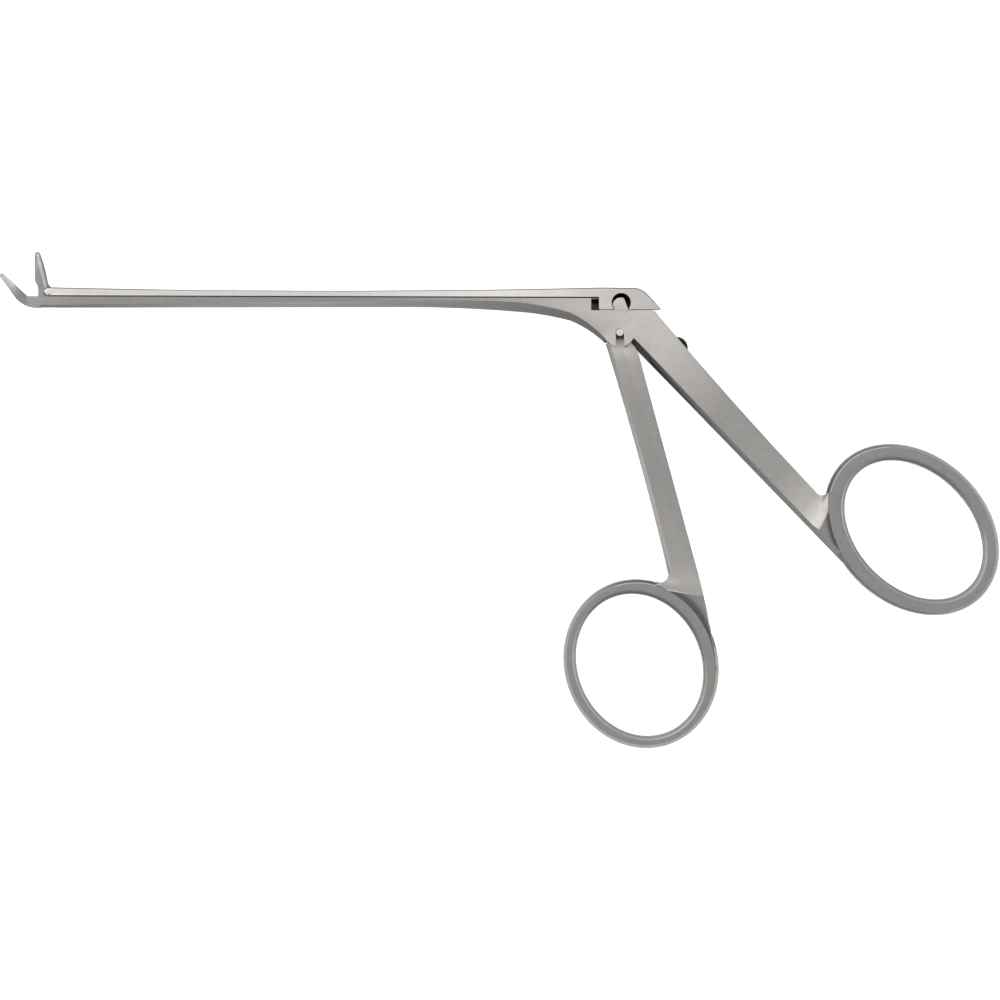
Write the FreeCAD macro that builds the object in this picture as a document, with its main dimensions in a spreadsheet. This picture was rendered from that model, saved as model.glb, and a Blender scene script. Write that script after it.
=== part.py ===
import FreeCAD, Part
import math
import os
from types import SimpleNamespace

import Sketcher

# Ethmoid forceps, lying on one side. The lever pivot is at X = Y = 0, the resting face at Z = 0,
# the jaws point to -X and the finger rings to -Y. Lengths are in millimetres, angles in degrees.
SIZES = {
    # thickness, measured through the flat of the instrument
    "body_thick": 5.0,
    "shaft_thick": 3.6,
    "handle_thick": 4.3,
    "lever_thick": 3.8,
    "ring_thick": 5.0,
    # fixed shaft, seen from the side
    "seam_height": 6.82,
    "shaft_under_front": 4.57,
    "shaft_under_middle": 4.92,
    "shaft_middle": 43.9,
    "flare_start": 19.87,
    "flare_start_height": 4.02,
    "flare_knee": 9.87,
    "flare_knee_height": 2.31,
    "flare_end": 3.0,
    "flare_end_depth": 2.13,
    "under_sweep": 278.0,
    "flare_sweep": 59.0,
    "flare_turn": 21.9,
    "body_front": 12.5,
    "lobe_radius": 3.0,
    "lobe_left": 2.20,
    "lobe_left_depth": 2.04,
    "step_back": 5.74,
    "deck_height": 4.38,
    "deck_end": 6.2,
    "shoulder_right": 7.6,
    "shoulder_height": 3.46,
    "shoulder_radius": 1.9,
    # bevel under the shaft and the flare, as lifts of the lower edge of the flat
    "bevel_ahead": 1.2,
    "bevel_front": 0.9,
    "bevel_middle": 1.4,
    "bevel_flare": 1.9,
    "bevel_knee": 1.55,
    "bevel_end": 0.42,
    "bevel_deep": 1.6,
    "bevel_spill": 0.05,
    # rear handle, whose inner edge runs straight from the pivot
    "handle_root_x": 2.09,
    "handle_slope": 1.026,
    "handle_heel_x": 46.33,
    "handle_merge_x": 55.0,
    "handle_merge_y": 54.5,
    "handle_merge_sweep": 37.8,
    "handle_back_x": 39.2,
    "handle_back_y": 31.75,
    "handle_back_sweep": 818.0,
    "handle_crook_x": 42.0,
    "handle_crook_y": 31.6,
    "handle_crook_radius": 1.6,
    "handle_throat_x": 44.3,
    "handle_throat_y": 27.75,
    "handle_bevel": 1.2,
    # finger and thumb rings
    "thumb_x": 58.94,
    "thumb_y": 39.34,
    "thumb_tilt": -44.8,
    "thumb_long": 15.96,
    "thumb_short": 11.48,
    "thumb_band_long": 3.37,
    "thumb_band_short": 3.43,
    "thumb_shift_x": 0.40,
    "thumb_shift_y": 0.08,
    "thumb_twist": 1.6,
    "finger_x": 4.19,
    "finger_y": 66.53,
    "finger_tilt": -65.5,
    "finger_long": 14.57,
    "finger_short": 12.35,
    "finger_band_long": 2.50,
    "finger_band_short": 2.97,
    "finger_shift_x": 0.27,
    "finger_shift_y": 0.27,
    "finger_twist": -4.5,
    "ring_bevel": 0.75,
    "ring_ease": 1.4,
    # scoops that end in a ridge where the handles widen into the rings
    "thumb_ridge_x": 43.9,
    "thumb_ridge_y": 31.9,
    "thumb_ridge_turn": -27.85,
    "finger_ridge_x": 10.92,
    "finger_ridge_y": 51.85,
    "finger_ridge_turn": -98.0,
    "scoop_run": 4.0,
    "scoop_sweep": 14.0,
    "scoop_sink": 0.05,
    "ridge_reach": 24.0,
    "ridge_wide": 44.0,
    # finger lever
    "lever_root_radius": 2.8,
    "lever_left_x": 2.80,
    "lever_left_y": 2.35,
    "lever_right_angle": 42.0,
    "lever_left_angle": 46.0,
    "lever_hip_x": 3.10,
    "lever_hip_y": 3.00,
    "lever_knee_x": 3.70,
    "lever_knee_y": 4.30,
    "lever_back_x": 15.08,
    "lever_back_y": 45.59,
    "lever_merge_x": 19.63,
    "lever_merge_y": 67.5,
    "lever_merge_sweep": 152.0,
    "lever_front_x": 9.80,
    "lever_front_y": 47.9,
    "lever_front_sweep": 683.0,
    "lever_crook_x": 7.6,
    "lever_crook_y": 49.9,
    "lever_crook_radius": 1.6,
    "lever_bevel_wide": 0.8,
    "lever_bevel_deep": 0.6,
    "tongue_radius": 2.9,
    "neck_left": 1.25,
    "neck_right": 1.30,
    "head_x": 0.22,
    "head_height": 5.12,
    "head_radius": 1.85,
    "flank_reach": 1.18,
    "flank_tilt": 20.8,
    # slots in the body
    "slot_side_play": 0.1,
    "slot_radius": 3.25,
    "channel_left": 2.95,
    "channel_right": 2.15,
    "hip_slot_top_x": 3.95,
    "hip_slot_top_y": 2.0,
    "hip_slot_middle_x": 5.75,
    "hip_slot_middle_y": 4.95,
    "hip_slot_low_x": 6.6,
    "hip_slot_low_y": 7.2,
    "pivot_radius": 0.75,
    "pivot_play": 0.04,
    "mouth_right": 1.03,
    # sliding shaft
    "slide_gap": 0.08,
    "nose_thick": 1.72,
    "nose_ahead": 0.59,
    "slider_back_height": 8.90,
    "slider_back": 3.9,
    "slider_top_sweep": 2228.0,
    "crown_x": 2.9,
    "crown_height": 8.84,
    "crown_radius": 3.5,
    "slope_x": 5.3,
    "slope_height": 7.75,
    "heel_x": 8.25,
    "heel_height": 4.70,
    "heel_lip": 0.2,
    "block_front": 4.23,
    "block_height": 4.56,
    "window_x": 0.24,
    "window_height": 5.90,
    "window_radius": 1.9,
    "guide_wide": 1.6,
    "guide_level": 1.2,
    "guide_height": 6.62,
    "guide_end": 3.9,
    "guide_root": 0.5,
    "groove_end": 2.55,
    # tee rail that holds the sliding shaft down
    "rail_neck": 1.0,
    "rail_head": 1.9,
    "rail_lip": 0.4,
    "rail_head_thick": 0.5,
    "rail_front": 100.0,
    "rail_back": 12.0,
    "rail_run": 1.8,
    # jaws
    "jaw_reach": 114.6,
    "jaw_pivot_height": 6.2,
    "jaw_pin_radius": 0.4,
    "drive_pin_radius": 0.35,
    "drive_ahead": 0.55,
    "drive_height": 1.39,
    "pin_play": 0.03,
    "drive_play": 0.06,
    "drive_slot_up": 0.15,
    "drive_slot_down": 0.06,
    "fork_gap": 2.0,
    "fork_front": 2.45,
    "fork_front_play": 0.65,
    "tang_thick": 1.84,
    "tang_radius": 1.45,
    "cup_start": 2.7,
    "jaw_wide": 3.4,
    "jaw_tip_wide": 1.5,
    "jaw_tip_radius": 0.6,
    "jaw_tip_deep": 1.05,
    "lower_tip_ahead": 8.9,
    "lower_tip_height": 11.47,
    "lower_chin_ahead": 0.25,
    "lower_bite_ahead": 3.95,
    "lower_bite_height": 6.80,
    "lower_bend_ahead": 6.4,
    "lower_bend_height": 6.75,
    "lower_bend_radius": 5.08,
    "lower_throat_ahead": 2.4,
    "lower_side_sweep": 4.8,
    "upper_tip_lean": 2.48,
    "upper_tip_height": 9.10,
    "upper_back_rise": 0.15,
    "upper_back_sweep": 36.0,
    "upper_bite_lean": 2.33,
    "upper_bite_height": 3.75,
    "upper_root_lean": 2.05,
    "upper_root_height": 3.08,
    "upper_heel_lean": 0.2,
    "upper_heel_height": 2.70,
    "upper_side_sweep": 9.0,
    "upper_side_start": 4.9,
    "tang_front": 1.70,
    "tang_front_low": 0.6,
    "tang_front_height": 1.9,
    "tang_top_height": 3.6,
    "tang_heel_lean": 0.72,
    "tang_heel_height": 2.46,
    "cup_long": 3.9,
    "cup_wide": 1.7,
    "cup_setback": 0.9,
    "bowl_wide": 1.27,
    "bowl_long": 2.4,
    "bowl_deep": 0.6,
    # stop screw in the rear handle
    "screw_along": 7.4,
    "screw_head_radius": 1.75,
    "screw_head_height": 0.85,
    "screw_radius": 1.0,
    "screw_length": 4.5,
    "screw_play": 0.04,
    "screw_slot_wide": 0.4,
    "screw_slot_deep": 0.4,
    # lengths of cutting tools beyond what they cut
    "overrun": 2.0,
}


class Size:
    """A length with the sheet expression that gives it."""

    def __init__(self, value, text):
        self.value = value
        self.text = text

    def __add__(self, other):
        other = as_size(other)
        return Size(self.value + other.value, f"({self.text} + {other.text})")

    def __sub__(self, other):
        other = as_size(other)
        return Size(self.value - other.value, f"({self.text} - {other.text})")

    def __mul__(self, other):
        other = as_size(other)
        return Size(self.value * other.value, f"({self.text} * {other.text})")

    def __neg__(self):
        return Size(-self.value, f"(-{self.text})")


def as_size(value):
    return value if isinstance(value, Size) else Size(float(value), f"{float(value)}")


def fill_sheet(sheet):
    """Write each driving size into the sheet with its alias, and return them by name."""
    sizes = {}
    for row, (name, value) in enumerate(SIZES.items(), start=1):
        sheet.set(f"A{row}", name)
        sheet.set(f"B{row}", str(value))
        sheet.setAlias(f"B{row}", name)
        sizes[name] = Size(value, f"Sizes.{name}")
    return SimpleNamespace(**sizes)


doc = FreeCAD.newDocument("EthmoidForceps")
s = fill_sheet(doc.addObject("Spreadsheet::Sheet", "Sizes"))
doc.recompute()

mid_z = s.body_thick * 0.5
Z_AXIS = FreeCAD.Vector(0, 0, 1)


def bind(thing, name, value):
    thing.setExpression(name, as_size(value).text)


def new_body(name):
    return doc.addObject("PartDesign::Body", name)


def new_sketch(body, name, role="XY_Plane", lift=None):
    """A sketch on one of the body's own origin planes, lifted along the plane's normal."""
    sketch = body.newObject("Sketcher::SketchObject", name)
    support = next(item for item in body.Origin.OriginFeatures if item.Role == role)
    sketch.AttachmentSupport = [(support, "")]
    sketch.MapMode = "FlatFace"
    if lift is not None:
        bind(sketch, "AttachmentOffset.Base.z", lift)
    return sketch


def arc_centre(start, end, radius, turn):
    """Centre of the arc from start to end; turn is 1 for anticlockwise, -1 for clockwise."""
    half = (end - start) * 0.5
    rise = math.sqrt(max(radius ** 2 - half.Length ** 2, 0.0))
    side = FreeCAD.Vector(-half.y, half.x, 0).normalize()
    return start + half + side * (rise * turn)


def pin_point(sketch, edge, end, corner):
    """Fix one end of an edge at the corner's two sheet-bound coordinates."""
    for kind, coordinate in (("DistanceX", corner[0]), ("DistanceY", corner[1])):
        coordinate = as_size(coordinate)
        index = sketch.addConstraint(
            Sketcher.Constraint(kind, -1, 1, edge, end, coordinate.value))
        bind(sketch, f"Constraints[{index}]", coordinate)


def draw_outline(sketch, corners):
    """Closed outline through corners (x, y), with (x, y, radius, turn) where an arc leads on.

    A radius of None makes a half round, whose centre is held between its two ends.
    """
    spots = [FreeCAD.Vector(as_size(c[0]).value, as_size(c[1]).value, 0) for c in corners]
    first = sketch.GeometryCount
    ends = []
    for index, corner in enumerate(corners):
        start = spots[index]
        end = spots[(index + 1) % len(spots)]
        if len(corner) == 2:
            sketch.addGeometry(Part.LineSegment(start, end), False)
            ends.append((1, 2))
            continue
        turn = corner[3]
        radius = (end - start).Length / 2 if corner[2] is None else as_size(corner[2]).value
        centre = arc_centre(start, end, radius, turn)
        begin, finish = (start, end) if turn > 0 else (end, start)
        angles = [math.atan2(p.y - centre.y, p.x - centre.x) for p in (begin, finish)]
        if angles[1] < angles[0]:
            angles[1] += 2 * math.pi
        circle = Part.Circle(centre, Z_AXIS, radius)
        sketch.addGeometry(Part.ArcOfCircle(circle, angles[0], angles[1]), False)
        ends.append((1, 2) if turn > 0 else (2, 1))
    for index, corner in enumerate(corners):
        edge = first + index
        before = first + (index - 1) % len(corners)
        sketch.addConstraint(
            Sketcher.Constraint("Coincident", before, ends[index - 1][1], edge, ends[index][0]))
        pin_point(sketch, edge, ends[index][0], corner)
        if len(corner) == 4 and corner[2] is None:
            level = abs(spots[index].y - spots[(index + 1) % len(spots)].y) < 1e-6
            kind, place = ("DistanceY", corner[1]) if level else ("DistanceX", corner[0])
            place = as_size(place)
            count = sketch.addConstraint(Sketcher.Constraint(kind, -1, 1, edge, 3, place.value))
            bind(sketch, f"Constraints[{count}]", place)
        elif len(corner) == 4:
            radius = as_size(corner[2])
            count = sketch.addConstraint(Sketcher.Constraint("Radius", edge, radius.value))
            bind(sketch, f"Constraints[{count}]", radius)


def pad(body, sketch, name, length):
    feature = body.newObject("PartDesign::Pad", name)
    feature.Profile = sketch
    bind(feature, "Length", length)
    sketch.Visibility = False
    return feature


def plate(name, corners, thick, middle=None, role="XY_Plane"):
    """A padded outline, thick across and centred on the middle height."""
    body = new_body(name)
    lift = (mid_z if middle is None else middle) - thick * 0.5
    sketch = new_sketch(body, name + "_outline", role, lift)
    draw_outline(sketch, corners)
    pad(body, sketch, name + "_pad", thick)
    return body


def cylinder(name, x, y, radius, thick, base=None):
    """A round bar across the instrument, centred on its middle plane unless its base is given."""
    bar = doc.addObject("Part::Cylinder", name)
    bind(bar, "Radius", radius)
    bind(bar, "Height", thick)
    bind(bar, "Placement.Base.x", x)
    bind(bar, "Placement.Base.y", y)
    bind(bar, "Placement.Base.z", mid_z - thick * 0.5 if base is None else base)
    return bar


def join(name, shapes):
    fused = doc.addObject("Part::MultiFuse", name)
    fused.Shapes = shapes
    return fused


def overlap_of(name, shapes):
    common = doc.addObject("Part::MultiCommon", name)
    common.Shapes = shapes
    return common


def take_away(name, base, tool):
    cut = doc.addObject("Part::Cut", name)
    cut.Base = base
    cut.Tool = tool
    return cut


def bevel(body, name, size, test):
    """Bevel those edges along the flat of a body that pass the test."""
    doc.recompute()
    solid = body.Tip
    chosen = [f"Edge{i}" for i, edge in enumerate(solid.Shape.Edges, start=1)
              if edge.BoundBox.ZLength < 0.01 and test(edge)]
    feature = body.newObject("PartDesign::Chamfer", name)
    feature.Base = (solid, chosen)
    bind(feature, "Size", size)
    solid.Visibility = False
    body.Tip = feature


def flat_point(corner):
    return FreeCAD.Vector(as_size(corner[0]).value, as_size(corner[1]).value, 0)


def upper_joins(edge, start, end):
    """Whether an edge of the upper face runs between two points (x, y)."""
    spots = [FreeCAD.Vector(v.X, v.Y, 0) for v in edge.Vertexes]
    return len(spots) == 2 and edge.BoundBox.ZMin > mid_z.value and all(
        min(spot.distanceToPoint(flat_point(corner)) for spot in spots) < 0.01
        for corner in (start, end))


def draw_ellipse(sketch, x, y, tilt, long_half, short_half):
    """An ellipse about (x, y) whose long axis is turned by tilt degrees."""
    turn = math.radians(tilt.value)
    centre = FreeCAD.Vector(x.value, y.value, 0)
    along = FreeCAD.Vector(math.cos(turn), math.sin(turn), 0)
    across = FreeCAD.Vector(-math.sin(turn), math.cos(turn), 0)
    curve = sketch.addGeometry(Part.Ellipse(
        centre + along * long_half.value, centre + across * short_half.value, centre), False)
    sketch.exposeInternalGeometry(curve)
    pin_point(sketch, curve, 3, (x, y))
    axis = sketch.Geometry[curve + 1]
    ahead = (axis.EndPoint - axis.StartPoint).dot(along) > 0
    angle = tilt if ahead else tilt + 180
    index = sketch.addConstraint(
        Sketcher.Constraint("Angle", curve + 1, math.radians(angle.value)))
    sketch.setExpression(f"Constraints[{index}]", f"{angle.text} * 1 deg")
    for line, half in ((curve + 1, long_half), (curve + 2, short_half)):
        index = sketch.addConstraint(Sketcher.Constraint("Distance", line, 2 * half.value))
        bind(sketch, f"Constraints[{index}]", half * 2)


def ellipse_bar(name, x, y, tilt, long_half, short_half, thick):
    """An elliptical bar across the instrument, centred on its middle plane."""
    body = new_body(name)
    sketch = new_sketch(body, name + "_outline", lift=mid_z - thick * 0.5)
    draw_ellipse(sketch, x, y, tilt, long_half, short_half)
    pad(body, sketch, name + "_pad", thick)
    return body


def ring(name, inner, outer):
    """A finger ring: the band between two ellipses, with bevelled rims."""
    body = new_body(name)
    sketch = new_sketch(body, name + "_outline", lift=mid_z - s.ring_thick * 0.5)
    draw_ellipse(sketch, *outer)
    draw_ellipse(sketch, *inner)
    pad(body, sketch, name + "_pad", s.ring_thick)
    bevel(body, name + "_bevel", s.ring_bevel, lambda edge: True)
    return body


def ring_rise(name, x, y, turn, thin):
    """The scoop that lifts a handle to the ring's thickness and ends in a ridge across it."""
    body = new_body(name)
    sketch = new_sketch(body, name + "_side", "XZ_Plane", -s.ridge_wide * 0.5)
    low = thin * 0.5 - s.scoop_sink
    high = s.ring_thick * 0.5 - s.scoop_sink
    draw_outline(sketch, [
        (-s.scoop_run, mid_z - low, s.scoop_sweep, -1),
        (0, mid_z - high),
        (s.ridge_reach, mid_z - high),
        (s.ridge_reach, mid_z + high),
        (0, mid_z + high, s.scoop_sweep, -1),
        (-s.scoop_run, mid_z + low),
    ])
    pad(body, sketch, name + "_pad", s.ridge_wide)
    body.Placement.Rotation = FreeCAD.Rotation(Z_AXIS, turn.value)
    bind(body, "Placement.Base.x", x)
    bind(body, "Placement.Base.y", y)
    return body


def x_of(reach):
    """X of a point that lies ahead of the jaw pivot."""
    return -(s.jaw_reach + reach)


def inner_edge(x):
    """A point on the rear handle's inner edge."""
    return (x, -(x * s.handle_slope))


def under_curve(lifts):
    """Underside from the lobe to the jaw, its corners lifted by the given amounts."""
    end, knee, flare, middle, front = lifts
    return [
        (end - s.flare_end, end - s.flare_end_depth, s.flare_turn, 1),
        (-s.flare_knee, s.flare_knee_height + knee, s.flare_sweep, 1),
        (-s.flare_start, s.flare_start_height + flare, s.under_sweep, 1),
        (-s.shaft_middle, s.shaft_under_middle + middle),
        (x_of(s.bevel_ahead), s.shaft_under_front + front),
    ]


def fixed_outline():
    """Side view of the fixed shaft, jaw tip first, along the seam, body and rear handle."""
    level = as_size(0)
    return [
        (x_of(s.lower_tip_ahead), s.lower_tip_height),
        (x_of(s.lower_bite_ahead), s.lower_bite_height),
        (x_of(s.lower_throat_ahead), s.seam_height),
        (-s.step_back, s.seam_height),
        (-s.step_back, s.deck_height),
        (s.deck_end, s.deck_height, s.shoulder_radius, -1),
        (s.shoulder_right, s.shoulder_height, s.handle_back_sweep, 1),
        (s.handle_back_x, -s.handle_back_y, s.handle_crook_radius, 1),
        (s.handle_crook_x, -s.handle_crook_y),
        (s.handle_throat_x, -s.handle_throat_y),
        (s.thumb_x, -s.thumb_y),
        (s.handle_merge_x, -s.handle_merge_y, s.handle_merge_sweep, -1),
        inner_edge(s.handle_heel_x),
        inner_edge(s.handle_root_x) + (s.lobe_radius, -1),
        (-s.lobe_left, -s.lobe_left_depth),
    ] + under_curve([level] * 5)[:4] + [
        (x_of(s.lower_throat_ahead), s.shaft_under_front, s.lower_bend_radius, -1),
        (x_of(s.lower_bend_ahead), s.lower_bend_height),
        (x_of(s.lower_tip_ahead + s.lower_chin_ahead), s.lower_tip_height - s.jaw_tip_deep,
         s.jaw_tip_radius, -1),
    ]


def bevel_section(name, corners, height):
    """Section of a bevel's cutter at one height through the flat."""
    sketch = doc.addObject("Sketcher::SketchObject", name)
    bind(sketch, "Placement.Base.z", height)
    draw_outline(sketch, corners)
    sketch.Visibility = False
    return sketch


def bevel_cutters(name, flat, edge):
    """Ruled cutter from the section on the flat to the one on the edge, and its mirror image."""
    cutter = doc.addObject("Part::Loft", name)
    cutter.Sections = [flat, edge]
    cutter.Solid = True
    cutter.Ruled = True
    mirror = doc.addObject("Part::Mirroring", name + "_back")
    mirror.Source = cutter
    mirror.Normal = Z_AXIS
    bind(mirror, "Base.z", mid_z)
    return [cutter, mirror]


def under_corners(lifts):
    """Section below the underside whose upper side has its corners lifted."""
    floor = -(s.flare_end_depth + s.overrun)
    return under_curve(lifts) + [(x_of(s.bevel_ahead), floor), (lifts[0] - s.flare_end, floor)]


def under_bevel():
    """The bevel that widens from the shaft to the flare and fades out at the lobe."""
    lifts = [s.bevel_end, s.bevel_knee, s.bevel_flare, s.bevel_middle, s.bevel_front]
    flat = bevel_section("under_bevel_flat", under_corners(lifts), s.body_thick)
    edge = bevel_section("under_bevel_edge", under_corners([-s.bevel_spill] * 5),
                         s.body_thick - s.bevel_deep)
    return bevel_cutters("under_bevel", flat, edge)


def lever_front_corners(inset):
    """Section in front of the finger lever whose rear side lies inside the front edge."""
    return [
        (s.lever_front_x + inset, -s.lever_front_y, s.lever_front_sweep, 1),
        (inset - s.lever_left_x, -s.lever_left_y),
        (-(s.lever_left_x + s.overrun), -s.lever_left_y),
        (s.lever_front_x - s.overrun, -s.lever_front_y),
    ]


def lever_bevel():
    """The bevel along the front edge of the finger lever."""
    top = mid_z + s.lever_thick * 0.5
    flat = bevel_section("lever_bevel_flat", lever_front_corners(s.lever_bevel_wide), top)
    edge = bevel_section("lever_bevel_edge", lever_front_corners(-s.bevel_spill),
                         top - s.lever_bevel_deep)
    return bevel_cutters("lever_bevel", flat, edge)


def plan_outline():
    """Top view of the shaft: the jaw's rounded tip, the slim shaft, the wide body and handle."""
    half_tip = s.jaw_tip_wide * 0.5
    half_slim = s.shaft_thick * 0.5
    half_jaw = s.jaw_wide * 0.5
    half_body = s.body_thick * 0.5
    half_handle = s.handle_thick * 0.5
    tip_x = x_of(s.lower_tip_ahead)
    neck_x = x_of(s.lower_bite_ahead)
    ring_x = s.thumb_x + s.thumb_long
    return [
        (tip_x, mid_z - half_tip, None, -1),
        (tip_x, mid_z + half_tip, s.lower_side_sweep, -1),
        (neck_x, mid_z + half_jaw),
        (x_of(0), mid_z + half_slim),
        (-s.body_front, mid_z + half_body),
        (s.deck_end, mid_z + half_body),
        (s.handle_back_x, mid_z + half_handle),
        (ring_x, mid_z + half_handle),
        (ring_x, mid_z - half_handle),
        (s.handle_back_x, mid_z - half_handle),
        (s.deck_end, mid_z - half_body),
        (-s.body_front, mid_z - half_body),
        (x_of(0), mid_z - half_slim),
        (neck_x, mid_z - half_jaw, s.lower_side_sweep, -1),
    ]


def plan_block(name):
    """The shaft's top view, swept through the whole height of the instrument."""
    body = new_body(name)
    sketch = new_sketch(body, name + "_outline", "XZ_Plane", -(s.lower_tip_height + s.overrun))
    draw_outline(sketch, plan_outline())
    pad(body, sketch, name + "_pad", s.lower_tip_height + s.thumb_y + s.thumb_long + s.overrun * 2)
    return body


def seat_slot(name, radius, right, low, thick):
    """A slot with a round top about the pivot, open downwards and flared to the right."""
    return plate(name, [
        (-radius, 0, None, -1),
        (radius, 0),
        (right, -low),
        (-radius, -low),
    ], thick)


def thumb_ellipses():
    """Inner and outer ellipse of the thumb ring."""
    inner = (s.thumb_x, -s.thumb_y, s.thumb_tilt, s.thumb_long, s.thumb_short)
    outer = (s.thumb_x - s.thumb_shift_x, s.thumb_shift_y - s.thumb_y,
             s.thumb_tilt + s.thumb_twist, s.thumb_long + s.thumb_band_long,
             s.thumb_short + s.thumb_band_short)
    return inner, outer


def ring_hole(name, ellipse):
    """What a handle leaves free for its ring: the inner ellipse, grown beyond its bevel."""
    x, y, tilt, long_half, short_half = ellipse
    return ellipse_bar(name, x, y, tilt, long_half + s.ring_ease, short_half + s.ring_ease,
                       s.body_thick + s.overrun)


def make_fixed_shaft():
    whole = s.body_thick + s.overrun
    profile = plate("fixed_profile", fixed_outline(), s.body_thick)
    root = inner_edge(s.handle_root_x)
    heel = inner_edge(s.handle_heel_x)
    bevel(profile, "handle_bevel", s.handle_bevel, lambda edge: upper_joins(edge, root, heel))
    slim = overlap_of("fixed_blank", [profile, plan_block("fixed_plan")])
    rise = overlap_of("thumb_shoulder", [profile, ring_rise(
        "thumb_rise", s.thumb_ridge_x, -s.thumb_ridge_y, s.thumb_ridge_turn, s.handle_thick)])
    inner, outer = thumb_ellipses()
    opened = take_away("fixed_opened", join("fixed_shouldered", [slim, rise]),
                       ring_hole("thumb_hole", inner))
    joined = join("fixed_joined", [opened, ring("thumb_ring", inner, outer)])
    slot_thick = s.lever_thick + s.slot_side_play * 2
    tools = [
        cylinder("lever_slot_round", 0, 0, s.slot_radius, slot_thick),
        plate("lever_slot_channel", [
            (-s.channel_left, 0),
            (-s.channel_left, s.block_height + s.overrun),
            (s.channel_right, s.block_height + s.overrun),
            (s.channel_right, 0),
        ], slot_thick),
        plate("hip_slot", [
            (0, 0),
            (s.hip_slot_top_x, -s.hip_slot_top_y),
            (s.hip_slot_middle_x, -s.hip_slot_middle_y),
            (s.hip_slot_low_x, -s.hip_slot_low_y),
            (0, -s.hip_slot_low_y),
        ], slot_thick),
        seat_slot("pivot_seat", s.pivot_radius + s.pivot_play, s.mouth_right,
                  s.lobe_radius + s.overrun, whole),
        plate("rail_lip_slot", rail_slot_side(s.seam_height + s.overrun),
              s.rail_neck + s.slide_gap * 2),
        plate("rail_head_slot", rail_slot_side(s.seam_height - s.rail_lip),
              s.rail_head + s.slide_gap * 2),
        fork_slot("jaw_slot", s.fork_gap),
        cylinder("jaw_pin_hole", -s.jaw_reach, s.jaw_pivot_height, s.jaw_pin_radius, whole),
        screw_bar("screw_hole", s.screw_radius + s.screw_play, s.screw_length + s.screw_play),
    ] + cup_tools("lower") + under_bevel()
    fixed = take_away("fixed_slotted", joined, join("fixed_tools", tools))
    guide = plate("guide_rib", [
        (-s.step_back, s.deck_height),
        (-(s.step_back + s.guide_root), s.deck_height - s.guide_root),
        (-(s.step_back + s.guide_root), s.guide_height - s.slide_gap),
        (-s.step_back, s.guide_height),
        (-s.guide_end, s.guide_height),
        (-s.guide_end, s.deck_height - s.guide_root),
    ], s.guide_wide, s.guide_level)
    return join("fixed_with_rib", [fixed, guide])


def rail_slot_side(top):
    """Side view of the tee slot, from its blind front end out through the step."""
    floor = s.seam_height - s.rail_lip - s.rail_head_thick - s.slide_gap * 2
    return [
        (-(s.rail_front + s.rail_run), floor),
        (-(s.rail_front + s.rail_run), top),
        (s.guide_root - s.step_back, top),
        (s.guide_root - s.step_back, floor),
    ]


def fork_slot(name, gap):
    """The jaw's slot through the fixed shaft, clear of the jaw's tang as it swings."""
    low = s.shaft_under_front - s.overrun
    top = s.seam_height + s.overrun
    back = s.tang_radius + s.slot_side_play * 2 - s.jaw_reach
    return plate(name, [
        (x_of(s.fork_front), low),
        (x_of(s.fork_front), s.jaw_pivot_height),
        (x_of(s.cup_start + s.fork_front_play), s.jaw_pivot_height),
        (x_of(s.cup_start + s.fork_front_play), top),
        (back, top),
        (back, low),
    ], gap)


def screw_frame():
    """Place on the handle's curved back edge with local Z along the screw's outward axis."""
    shoulder = FreeCAD.Vector(s.shoulder_right.value, s.shoulder_height.value, mid_z.value)
    crook = FreeCAD.Vector(s.handle_back_x.value, -s.handle_back_y.value, mid_z.value)
    chord = crook - shoulder
    back = FreeCAD.Vector(chord).normalize()
    outward = FreeCAD.Vector(-back.y, back.x, 0)
    along = s.screw_along.value
    hollow = along * (chord.Length - along) / (2 * s.handle_back_sweep.value)
    seat = shoulder + back * along + outward * (s.screw_play.value - hollow)
    return FreeCAD.Placement(seat, FreeCAD.Rotation(Z_AXIS, outward))


def screw_bar(name, radius, length):
    """A bar into the handle along the screw's axis, from its head's seat inwards."""
    bar = doc.addObject("Part::Cylinder", name)
    bind(bar, "Radius", radius)
    bind(bar, "Height", length)
    place = screw_frame()
    bar.Placement = place.multiply(
        FreeCAD.Placement(FreeCAD.Vector(0, 0, -length.value), FreeCAD.Rotation()))
    return bar


def bite_place(which):
    """Middle of a jaw's bite face with local Z into the jaw and local X towards the tip."""
    if which == "lower":
        tip = FreeCAD.Vector(x_of(s.lower_tip_ahead).value, s.lower_tip_height.value, 0)
        root = FreeCAD.Vector(x_of(s.lower_bite_ahead).value, s.lower_bite_height.value, 0)
        side = 1
    else:
        pivot = FreeCAD.Vector(-s.jaw_reach.value, s.jaw_pivot_height.value, 0)
        tip = pivot + FreeCAD.Vector(-s.upper_tip_lean.value, s.upper_tip_height.value, 0)
        root = pivot + FreeCAD.Vector(-s.upper_bite_lean.value, s.upper_bite_height.value, 0)
        side = -1
    along = (tip - root).normalize()
    into = FreeCAD.Vector(-along.y, along.x, 0) * side
    centre = tip - along * (s.cup_setback.value + s.cup_long.value * 0.5)
    centre.z = mid_z.value
    across = into.cross(along)
    matrix = FreeCAD.Matrix(along.x, across.x, into.x, centre.x,
                            along.y, across.y, into.y, centre.y,
                            along.z, across.z, into.z, centre.z,
                            0, 0, 0, 1)
    return FreeCAD.Placement(matrix)


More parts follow.
